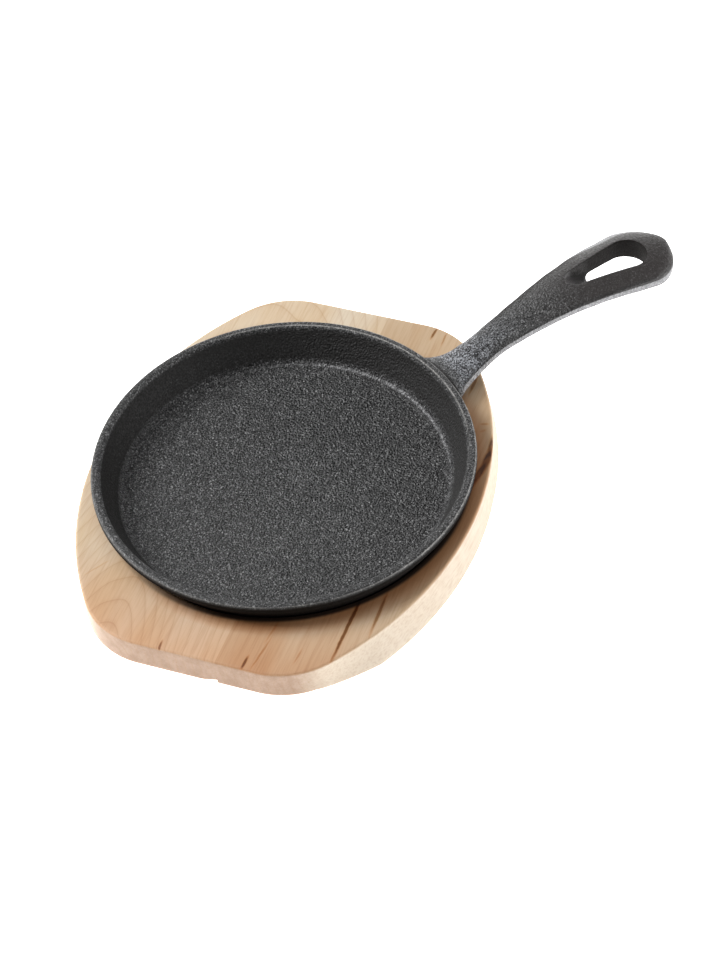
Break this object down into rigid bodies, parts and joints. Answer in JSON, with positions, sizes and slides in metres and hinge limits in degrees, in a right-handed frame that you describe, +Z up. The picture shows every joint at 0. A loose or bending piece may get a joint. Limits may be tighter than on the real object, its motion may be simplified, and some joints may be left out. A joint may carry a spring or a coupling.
{
  "type": "cast iron serving pan on wooden board",
  "caption": "Shallow round cast iron serving pan with a long arched handle and teardrop hanging hole, resting in the round seat of a bowed wooden board.",
  "frame": {"origin": "centre of the board's flat underside, under the pan's axis", "axes": "+X from the pan's axis along the handle towards its tip, +Z up"},
  "size_m": [0.3024, 0.1906, 0.0348],
  "materials": {
    "black_cast_iron": "matte black baked coating over a fine sand-cast grain",
    "pale_board_wood": "planed and lightly oiled pale wood, straight grain along the board",
    "warm_board_wood": "planed and lightly oiled pale wood, flat-sawn figure along the board"
  },
  "bodies": {
    "board": {"wide_board_stave": "pale_board_wood", "narrow_board_stave": "warm_board_wood"},
    "pan": {"cast_iron_pan": "black_cast_iron"}
  },
  "joints": [
    {"name": "pan_lift", "type": "slide", "parent": "board", "child": "pan", "axis": [0, 0, 1], "range_m": [0, 0.06]}
  ]
}
